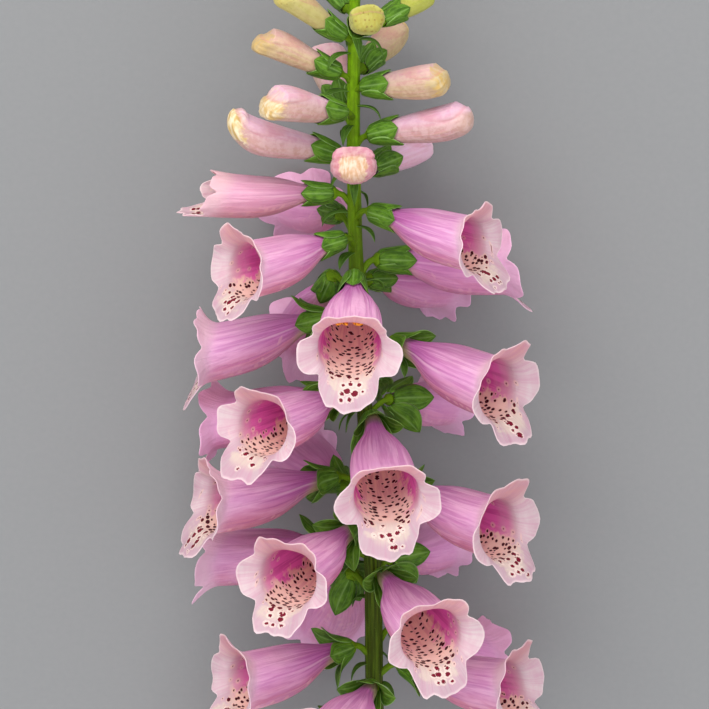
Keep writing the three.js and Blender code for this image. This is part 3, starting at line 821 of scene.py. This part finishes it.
def corolla(flower):
    turn, reach = np.broadcast_arrays(full_turn(COLUMNS), np.concatenate([TUBE_ROWS, LOBE_ROWS])[:, None])
    sheet, along, lobe = petal_sheet(flower, turn, reach)
    aside = np.gradient(sheet, axis=1)
    aside[:, [0, -1]] = (sheet[:, [1]] - sheet[:, [-2]]) / 2
    normal = unit(np.cross(np.gradient(sheet, axis=0), aside))
    half = wall_half(reach)[..., None]
    place = paired(*measured(sheet / flower.size, along, lobe, turn))
    part_turn = paired(turn / (2 * math.pi), np.maximum(reach - 1, 0))
    sheets = Sheets()

    def face(slot, side, first, start):
        """One face of the wall from its first row on, drawn together on the axis where it starts."""
        rows = np.r_[first, first:len(sheet)]
        point = np.broadcast_to(in_flower(flower, start * flower.size * TUBE, 0, 0), (1, COLUMNS, 3))
        sheets.add(np.concatenate([point, (sheet + side * half * normal)[first:]]), slot=slot,
                   place=place[rows], turn=part_turn[rows], flower=(flower.number, flower.shaded))

    face(0, 1, 0, 0)
    face(1, -1, int(np.argmax(reach[:, 0] > THROAT_END)), THROAT_END - 0.02)
    stamens(sheets, flower)
    number = f"{flower.number + 1:02d}"
    sheets.piece("petals_" + number, "corolla_" + number, petal_materials)


def stamens(sheets, flower):
    """Four stamens and the pistil's style run up the roof of the tube and end behind its upper lip."""
    size = flower.size
    t = np.linspace(0, 1, 10)

    def thread(aside, end, below_roof, radius):
        along = THROAT_END + 0.04 + (end - THROAT_END - 0.04) * t
        back = flower.girth * tube_back(along) - PETAL / 2 - below_roof - 1.5 * (1 - t) ** 2
        path = in_flower(flower, size * along * TUBE, size * aside * t ** 0.7, size * back)
        tangent = unit(np.gradient(path, axis=0))
        across = unit(np.cross(tangent, [0.3, 0.2, 0.9]))
        radii = size * radius * np.sqrt(np.clip(1 - (2 * t - 1) ** 8, 0, 1))
        grid = rings_along(path, radii[:, None] * np.ones(7), across, np.cross(tangent, across))
        sheets.add(grid, slot=2, flower=(flower.number, 0))
        return path[-1]

    front = 0.83 if flower.number == FLOWER_WITH_STAMENS_OUT else 0.7
    for aside, end in ((-3.2, front), (3.2, front), (-1.6, front - 0.06), (1.6, front - 0.06)):
        anther(sheets, flower, thread(aside, end, 1.6, FILAMENT), 1 if aside > 0 else -1)
    thread(0, front + 0.05, 1.0, STYLE)


def anther(sheets, flower, end, side):
    """A pair of plump pollen sacs, set across the filament's end."""
    turn = full_turn(11)
    rise = np.linspace(0, math.pi, 8)[:, None]
    long, wide, thick = POLLEN_SAC
    for lean in (-1, 1):
        middle = end + flower.size * (lean * flower.across + 0.2 * flower.axis)
        long_way = unit(flower.axis * 0.75 + flower.across * 0.65 * side * lean)
        wide_way = unit(np.cross(long_way, flower.back))
        sac = (np.cos(rise)[..., None] * long * long_way
               + (np.sin(rise) * np.cos(turn))[..., None] * wide * wide_way
               + (np.sin(rise) * np.sin(turn))[..., None] * thick * flower.back)
        sheets.add(middle + flower.size * sac, slot=3, place=paired(turn, rise), flower=(flower.number, lean))


# Round spots with a pale ring, one in each cell of a loose pattern and only inside a region.
# Place is in mm. A spot is whole or absent, because the region is tested at its middle. Spots are Wider
# across than along, and those at End are Growth times larger than those at Start.
inputs = ("Place", "Seed", "Cell", "Wider", "Radius", "Growth", "Ring", "Half width", "Start", "End",
          "Share")
speckles, w, entry, give = new_group("Speckles", inputs, ("Spot", "Ring"), Place="Vector")
place, seed, cell, wider, radius, growth, ring_width, half_width, start, end, share = entry
shift = w.vector(seed * 17.3, seed * 9.1)
x, y, _ = w.parts(place)
jitter = (w.noise(w.vectors("ADD", place, shift), 1.5) - 0.5) * (radius * 1.6)
cells = w.vectors("ADD", w.vector((x + jitter) / wider / cell, (y - jitter) / cell), shift)
distance, chance, middle, *_ = w.node("TexVoronoi", {"Vector": cells, "Scale": 1, "Randomness": 0.8},
                                      voronoi_dimensions="2D")
middle_x, middle_y, _ = w.parts(w.vectors("SUBTRACT", middle, shift))
away_x = abs(middle_x * cell * wider)
along = middle_y * cell
random_size, random_choice, _ = w.parts(chance)
inside = w.fade(along, start, start + 3) * w.fade(along, end, end - 3)
inside = inside * w.fade(away_x, half_width, half_width - 2.5) * w.math("LESS_THAN", random_choice, share)
grown = (along - start) / (end - start) * (growth - 1) + 1
reach = radius * (random_size * 0.7 + 0.6) * grown * inside
away = distance * cell
spot = w.fade(away, reach + 0.05, reach - 0.07)
there = w.fade(reach, 0.1, 0.25)
ringed = reach + ring_width
ring = w.fade(away, ringed + 0.3, ringed - 0.15)
give(Spot=spot * there, Ring=ring * there)

# Lilac above, rosy below with pale blotches, veined lengthwise, paler at its lobes and its base. Its broad
# pale streaks are painted highlights, and flowers behind the stem are painted paler, a painted lift of the
# shade they sit in.
petal_outside, w = new_material("Petal outside")
run, past = w.map("place")
turn, _ = w.map("turn")
number, shaded = w.map("flower")
off_floor = abs(turn)
to_back = w.fade(off_floor, 0.16, 0.30)
lines, mottle = w.group(fibres, turn, past, 52, number)
broad, _ = w.group(fibres, turn, past, 17, number + 40)
body = w.mix(to_back, (220, 152, 174), (226, 170, 212))
# Painted highlights: broad pale lengthwise streaks, where light would catch the tube's ridges.
painted_streak_highlights = w.mix(broad * 0.5, body, (250, 212, 236))
deeper = w.mix(w.fade(past, -10, -34) * to_back * 0.78, painted_streak_highlights, (202, 96, 188))
dark_veins = lines * (w.fade(past, 0, -36) * 0.3 + 0.32)
veined = w.mix(dark_veins, deeper, (178, 78, 160))
seam_line = w.fade(abs(off_floor - 0.285), 0.018, 0)
seamed = w.mix(seam_line * (w.fade(past, -8, -26) * 0.6), veined, (250, 222, 236))
_, pale = w.group(speckles, w.vector(run, past), number, Cell=3.4, Wider=1.2, Radius=0.55,
                  Growth=1.2, Ring=0.3, Half_width=14, Start=-32, End=2, Share=0.5)
rosy = w.mix(mottle * w.fade(off_floor, 0.22, 0.08) * 0.5, seamed, (204, 122, 136))
blotched = w.mix(pale * 0.45, rosy, (244, 208, 202))
lobes = w.mix(w.fade(past, -3, 6), blotched, (236, 206, 218))
based = w.mix(w.fade(past, -33, -41), lobes, (206, 196, 142))
young = w.fade(number, 3, 0) * 0.45
tinted = w.mix(young, based, (238, 190, 192))
# Painted light: flowers behind the stem are mixed towards a pale pink, which lifts the shade they sit in.
shade = w.mix(shaded * 0.5, tinted, (255, 184, 238))
thin_finish(w, shade, mottle - lines, 0.5, 0.46, bump=0.45, sheen=0.1)

# A magenta throat with a peach floor, both paling towards the lobes, and maroon spots.
petal_inside, w = new_material("Petal inside")
run, past = w.map("place")
turn, lobe = w.map("turn")
number, _ = w.map("flower")
lines, mottle = w.group(fibres, turn, past, 40, number)
ragged = abs(run) + (mottle - 0.5) * 6
on_floor = w.fade(ragged, 13, 8.5)
to_back = w.fade(abs(turn), 0.26, 0.42)

walls = w.mix(to_back, (246, 126, 206), (240, 160, 176))
veined_walls = w.mix(lines * 0.45, walls, (190, 66, 146))
paler = w.fade(past + mottle * 3, -10, 3)
out_walls = w.mix(paler, veined_walls, (230, 188, 200))
floor = w.mix(w.fade(past, -24, -6), (255, 222, 196), (252, 230, 210))
stained = w.mix(lines * w.fade(past, -8, -20) * 0.35, floor, (196, 92, 140))
throat = w.mix(on_floor, out_walls, stained)
pale = w.mix(to_back, (234, 224, 222), (236, 192, 188))
sides = w.mix(mottle * 0.45, pale, (226, 194, 202))
white_field = w.fade(ragged, 11, 6) * w.fade(past, 11, 6.5)
lip = w.mix(white_field, (214, 196, 200), (228, 220, 204))
lobes = w.mix(w.fade(abs(turn), 0.19, 0.11), sides, lip)
threads, _ = w.group(fibres, turn, past, 120, number + 80)
streaks = (lines + threads) * (white_field * -0.1 + 0.2)
streaked = w.mix(streaks, lobes, (214, 150, 182))
lined = w.mix(w.fade(past, -3.5, 1.5), throat, streaked)
edged = w.mix(w.fade(lobe, 0.9, 0.99) * 0.7, lined, (250, 240, 236))

place = w.vector(run, past)
small, small_ring = w.group(speckles, place, number, Cell=2.1, Wider=1.5, Radius=0.42, Growth=1.6, Ring=0.32,
                            Half_width=12, Start=-36, End=4.5, Share=0.9)
large, large_ring = w.group(speckles, place, number, Cell=3, Wider=1.15, Radius=0.95, Growth=1.1, Ring=0.7,
                            Half_width=7, Start=0.5, End=13, Share=0.75)
stray, stray_ring = w.group(speckles, place, number, Cell=4.2, Wider=1, Radius=0.3, Growth=1, Ring=0.7,
                            Half_width=27, Start=-15, End=7, Share=0.55)
ringed = w.mix(small_ring * 0.55, edged, (250, 220, 196))
ringed = w.mix(stray_ring * 0.6, ringed, (246, 222, 206))
ringed = w.mix(large_ring * 0.7, ringed, (250, 240, 226))
spotted = w.mix(stray * 0.85, ringed, (120, 36, 60))
crimson = w.mix(w.fade(past, -1, 5), (74, 12, 26), (124, 14, 44))
spotted = w.mix(small, spotted, crimson)
spotted = w.mix(large, spotted, (128, 10, 44))
thin_finish(w, spotted, mottle - lines, 0.55, 0.6, bump=0.3, sheen=0.08)

filament, w = new_material("Stamen filament")
grain = w.noise(w.position(), 900, 3)
shade = w.mix(grain, (236, 214, 216), (222, 176, 196))
thin_finish(w, shade, grain, 0.4, 0.25)

pollen_sac, w = new_material("Anther")
position = w.position()
grain = w.noise(position, 1600, 4, 0.7)
freckle = w.fade(w.noise(position, 1100, 2), 0.62, 0.68)
yellow = w.mix(w.fade(grain, 0.3, 0.7), (222, 112, 18), (248, 176, 52))
shade = w.mix(freckle, yellow, (110, 34, 20))
thin_finish(w, shade, grain, 0.7, 0.05, bump=0.7)

petal_materials = [petal_outside, petal_inside, filament, pollen_sac]
for one in flowers:
    corolla(one)

# Coloured buds
# A bud is the same bell still shut: a swollen tube whose lips are folded over its mouth like a cap. It turns
# from yellow-green through cream to pink as it grows, and the folded lips stay cream the longest.
BUD_SQUARE = 0.86
BUD_SLANT = 0.04
HOOD_SHORT = 1.9
bud_round = through([0, 1], [0.87, 1], [0.92, 0.95], [0.96, 0.8], [0.985, 0.53], [0.997, 0.24], [1, 0])
hood_edge = through([0, 0.9], [0.45, 0.72], [0.7, 0.42], [0.88, 0.3], [0.95, 0.4], [1, 0.52])


def bud(flower):
    reach = np.concatenate([[0, 0.004], np.linspace(0.03, 0.74, 20), np.linspace(0.75, 1, 30)])[:, None]
    turn, reach = np.broadcast_arrays(full_turn(65), reach)
    seed = flower.number
    neck = BUD_NECK * min(flower.size, 1)
    body = bud_radius(flower, reach)
    radius = np.where(reach < 0.02, 0.6 * neck * (reach > 0), body) * bud_round(reach)
    late = np.clip((reach - 0.4) / 0.4, 0, 1)
    tip = np.clip((reach - 0.84) / 0.12, 0, 1)
    across, down = squared(np.sin(turn), BUD_SQUARE), squared(np.cos(turn), BUD_SQUARE)
    past_seam = -down * radius / flower.girth - hood_edge(reach) + 0.06 * wobble(seed, 41) * across
    hood = 1 / (1 + np.exp(-past_seam / 0.035))
    notch = (0.05 * late + 0.2 * tip) * np.exp(-((past_seam + 0.04) / 0.1) ** 2)
    ruffle = 0.06 * tip * (0.3 + flower.cap) * np.sin(11 * turn + seed) * np.sin(4 * turn + 2 * seed)
    pleats = 0.035 * late * (1 - 0.7 * tip) * np.cos(5 * turn + 0.5 * seed)
    wrinkles = 0.012 * np.sin(21 * turn + seed) * np.clip(reach * 2, 0, 1) * (1 - tip)
    radius *= 1 + 0.05 * late * hood - notch + ruffle + pleats + wrinkles
    radius *= 1 - flower.taper * np.clip((reach - 0.6) / 0.3, 0, 1) ** 2
    belly = np.where(np.cos(turn) > 0, 1.0, 0.86) * flower.flat
    bend = bud_bend(flower, reach)
    set_back = (BUD_SLANT * flower.length * (down - 0.4) - HOOD_SHORT * hood) * tip * radius / flower.girth
    sideways, lowered = radius * 1.04 * across, radius * belly * down
    grid = in_flower(flower, reach * flower.length + set_back, sideways, bend - lowered)
    cap_reach = 0.9 + 0.07 * hood - 0.06 * flower.cap + 0.02 * np.sin(6 * turn + seed)
    to_cap = reach - cap_reach - 0.6 * flower.panel * np.maximum(np.abs(sideways) / flower.girth - 0.45, 0)
    sheets = Sheets()
    number = flower.number - len(flowers)
    sheets.add(grid, place=paired(hood * late, reach * flower.length),
               turn=paired(turn / (2 * math.pi), to_cap), flower=(number, flower.cap),
               fold=paired(sideways, lowered))
    sheets.piece(f"bud_petals_{number + 1:02d}", f"bud_{number + 1:02d}", [bud_skin])


# Yellow-green on the youngest, cream, then pink from the back, with creamy folded lips. The fold under the
# hood has painted shade, and the last bud has a painted lift.
bud_skin, w = new_material("Bud petals")
hood, along = w.map("place")
turn, to_cap = w.map("turn")
number, cream_cap = w.map("flower")
sideways, lowered = w.map("fold")
off_belly = abs(turn)
lines, _ = w.group(fibres, turn, along, 30, number)
position = w.position()
mottle = w.fade(w.noise(position, 420, 3, 0.6), 0.38, 0.62)
at_tip = w.fade(to_cap, -0.12, -0.02)
to_back = w.fade(off_belly, 0.2, 0.42)
ripe = w.fade(number, 4, 9.5)
green = w.fade(number, 5, 1)
belly = w.mix(ripe, (186, 160, 112), (188, 148, 136))
back = w.mix(ripe, (200, 160, 146), (212, 166, 190))
body = w.mix(to_back, belly, back)
# The last bud, behind the stem, is lilac and is painted paler still: partly its colour, partly a painted lift
# of the shade it sits in.
lilac_and_painted_lift = w.mix(w.fade(number, 11.2, 11.9) * 0.6, body, (250, 206, 236))
rosier = w.mix(w.math("COMPARE", number, 11, 0.5) * 0.75, lilac_and_painted_lift, (188, 112, 124))
yellowed = w.mix(green, rosier, (168, 170, 64))
vein = w.mix(green, (206, 132, 150), (180, 178, 84))
veined = w.mix(lines * (at_tip * -0.26 + 0.3), yellowed, vein)
blotch = w.mix(ripe, w.mix(green, (218, 202, 156), (186, 186, 96)), (226, 196, 200))
paled = w.mix(mottle * 0.3, veined, blotch)
streaks = w.noise(w.vector(sideways * 0.8, lowered * 0.3, number), 1, 4)
pale_cap = w.mix(green, w.mix(ripe, (174, 148, 98), (232, 216, 180)), (164, 160, 66))
dark_cap = w.mix(green, (194, 160, 92), (152, 140, 48))
cap = w.mix(w.fade(streaks, 0.36, 0.64), dark_cap, pale_cap)
in_cap = w.fade(to_cap + (mottle - 0.5) * 0.08, -0.05, 0.05)
off_hood = hood * ripe * -0.8 + 1
capped = w.mix(in_cap * cream_cap * off_hood, paled, cap)
# Painted shade: a darker rose band along the fold where the hood's edge lies over the bud.
hood_fold_shade = w.fade(abs(hood - 0.5), 0.4, 0.1)
fold_shaded = w.mix(hood_fold_shade * 0.3, capped, (196, 120, 118))
in_mm = w.node("VectorMath", {0: position, 3: 1 / MM}, operation="SCALE")[0]
freckles, _ = w.group(speckles, in_mm, number, Cell=2.1, Wider=1, Radius=0.42, Growth=1,
                      Ring=0.2, Half_width=500, Start=-500, End=500, Share=0.6)
freckled = freckles * at_tip * (green * 0.7)
shade = w.mix(freckled, fold_shaded, (128, 96, 36))
thin_finish(w, shade, mottle - lines, 0.48, 0.2, bump=0.25, sheen=0.1)

for one in buds:
    bud(one)

# Surface, light and camera
# The spike lies on a plain pale sheet. A broad soft lamp beyond its tip lights it as daylight from above
# would, and two weaker ones, by the camera and below the foot, open the shadows. The camera looks down on it.
CAMERA_LENS = 317.35
FLOOR_REACH = 4
FLOOR_DROP = 0.0002
LAMPS_AIM = (0, 0, 0.06)

mesh = bpy.data.meshes.new("pale_floor")
corners = [(x * FLOOR_REACH, y * FLOOR_REACH, -FLOOR_DROP) for x, y in ((-1, -1), (1, -1), (1, 1), (-1, 1))]
mesh.from_pydata(corners, [], [(0, 1, 2, 3)])
floor_grey, w = new_material("Pale floor")
tooth = w.noise(w.position(), 420, 3)
shade = w.mix(tooth, (120, 120, 120), (125, 125, 124))
bump = w.node("Bump", {"Height": tooth, "Strength": 0.05, "Distance": 0.0002})[0]
surface = w.node("BsdfPrincipled", {"Base Color": shade, "Roughness": 0.9, "Normal": bump})[0]
w.node("OutputMaterial", {"Surface": surface})
mesh.materials.append(floor_grey)
put("pale_floor", mesh)


def soft_lamp(name, place, size, power, tint):
    lamp = bpy.data.lights.new(name, "AREA")
    lamp.shape, lamp.size, lamp.energy, lamp.color = "DISK", size, power, tint
    made = put(name, lamp)
    made.location = place
    made.rotation_mode = "QUATERNION"
    made.rotation_quaternion = (Vector(place) - Vector(LAMPS_AIM)).to_track_quat("Z", "Y")


lens = bpy.data.cameras.new("camera")
lens.lens, lens.sensor_width = CAMERA_LENS, 36
lens.clip_start, lens.clip_end = 0.1, 50
camera = put("camera", lens)
towards = np.array([0, math.sin(VIEW_TILT), math.cos(VIEW_TILT)])
camera.location = (VIEW_DISTANCE * towards + [0, 0, STEM_HEIGHT] - CENTRE) * MM
camera.rotation_mode = "XYZ"
camera.rotation_euler = (-VIEW_TILT, 0, 0)
bpy.context.scene.camera = camera

world = bpy.data.worlds.new("soft room")
world.use_nodes = True
sky = world.node_tree.nodes["Background"].inputs
sky["Color"].default_value = (0.92, 0.95, 1.0, 1)
sky["Strength"].default_value = 1.3
bpy.context.scene.world = world
bpy.context.scene.view_settings.view_transform = "Standard"

soft_lamp("daylight", (-0.5, 2.0, 1.25), 2.0, 62, (1, 0.985, 0.96))
soft_lamp("front_fill", (0.15, 0.7, 2.1), 0.8, 5, (0.98, 1, 1))
soft_lamp("low_fill", (0.3, -2.0, 0.7), 1.2, 4, (1, 0.98, 0.98))
